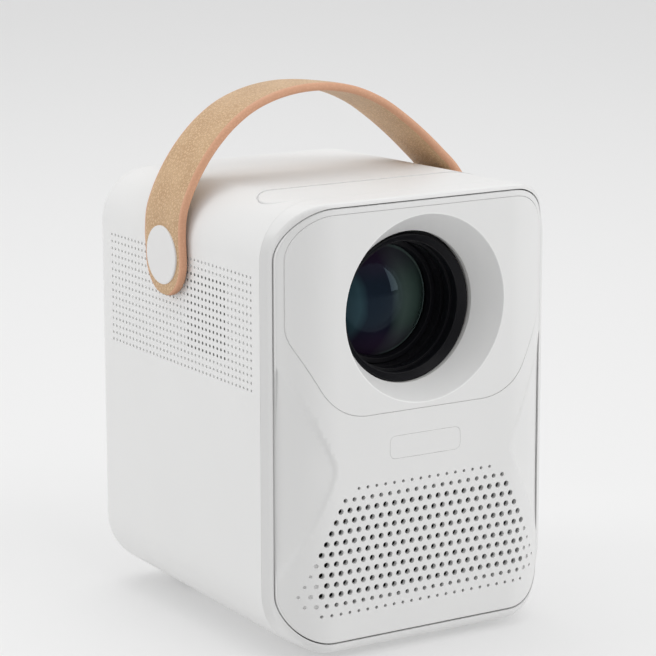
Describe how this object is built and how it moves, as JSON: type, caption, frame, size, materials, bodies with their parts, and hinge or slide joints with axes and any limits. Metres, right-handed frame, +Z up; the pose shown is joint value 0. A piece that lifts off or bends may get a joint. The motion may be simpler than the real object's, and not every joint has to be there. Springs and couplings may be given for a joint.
{
  "type": "home projector",
  "caption": "Upright white home projector with a recessed front lens, dotted speaker grille, side dot fields and a leather carrying strap on round side pivots.",
  "frame": {"origin": "on the ground under the middle of the bounding box", "axes": "+X is left to right as seen from the front, the lens looks along -Y, +Z is up"},
  "size_m": [0.1202, 0.125, 0.1835],
  "materials": {
    "white_plastic": "satin moulded white",
    "inner_plastic": "matt off-white",
    "black_plastic": "matt black moulded",
    "rubber": "matt",
    "steel": "plain turned",
    "glass": "coated, polished",
    "leather": "grained, painted edges",
    "board": "solder-masked board",
    "brass": "plain turned",
    "strap_caps": "satin, finely brushed",
    "mirror": "front-silvered",
    "copper_board": "plain",
    "aluminium": "plain extruded"
  },
  "bodies": {
    "case": {"main_shell": "white_plastic", "front_frame": "white_plastic", "front_panel": "white_plastic", "lens_panel": "white_plastic", "blank_badge": "inner_plastic", "rear_cover": "white_plastic", "touch_strip": "inner_plastic", "touch_board": "board", "rear_screw_1": "steel", "rear_screw_2": "steel", "rear_screw_3": "steel", "rear_screw_4": "steel", "rubber_foot_1": "rubber", "rubber_foot_2": "rubber", "rubber_foot_3": "rubber", "rubber_foot_4": "rubber", "tripod_insert": "brass", "pivot_bush_left": "inner_plastic", "pivot_bush_right": "inner_plastic", "lens_hood": "black_plastic", "lens_guide_tube": "black_plastic", "focus_motor": "steel", "optics_housing": "black_plastic", "folding_mirror": "mirror", "fresnel_upper": "glass", "lcd_panel": "black_plastic", "fresnel_lower": "glass", "condenser_lens": "glass", "lamp_hood": "black_plastic", "led_board": "copper_board", "heat_sink": "aluminium", "fan_frame": "black_plastic", "speaker_basket": "steel", "speaker_cone": "black_plastic", "speaker_magnet": "steel", "main_board": "board", "power_board": "board", "hdmi_socket": "steel", "usb_socket": "steel", "av_socket": "black_plastic", "dc_socket": "black_plastic", "ir_receiver": "black_plastic"},
    "strap": {"leather_strap": "leather", "strap_pivot_left": "strap_caps", "strap_pivot_right": "strap_caps", "pivot_washer_left": "steel", "pivot_washer_right": "steel"},
    "lens_carriage": {"lens_barrel": "black_plastic", "front_retaining_ring": "black_plastic", "front_lens": "glass", "rear_lens": "glass"},
    "focus_screw": {"focus_lead_screw": "steel"},
    "fan": {"fan_rotor": "black_plastic"},
    "power_key": {"power_button": "inner_plastic"}
  },
  "joints": [
    {"name": "strap_swing", "type": "hinge", "parent": "case", "child": "strap", "pos_m": [0, 0.0083, 0.128], "axis": [1, 0, 0], "range_deg": [-8, 10]},
    {"name": "focus_screw_turn", "type": "hinge", "parent": "case", "child": "focus_screw", "pos_m": [0.026, -0.03, 0.0939], "axis": [0, 1, 0], "range_deg": [-180, 180]},
    {"name": "lens_focus_travel", "type": "slide", "parent": "case", "child": "lens_carriage", "axis": [0, -1, 0], "range_m": [-0.0015, 0.0015]},
    {"name": "fan_spin", "type": "hinge", "parent": "case", "child": "fan", "pos_m": [0, 0.0514, 0.038], "axis": [0, 1, 0], "continuous": true},
    {"name": "power_button_press", "type": "slide", "parent": "case", "child": "power_key", "axis": [0, -1, 0], "range_m": [0, 0.0008], "stiffness_N_per_m": 300, "springref_m": -0.0005}
  ],
  "couplings": [
    {"joint": "focus_screw_turn", "follows": "lens_focus_travel", "rad_per_m": 2094.4}
  ]
}
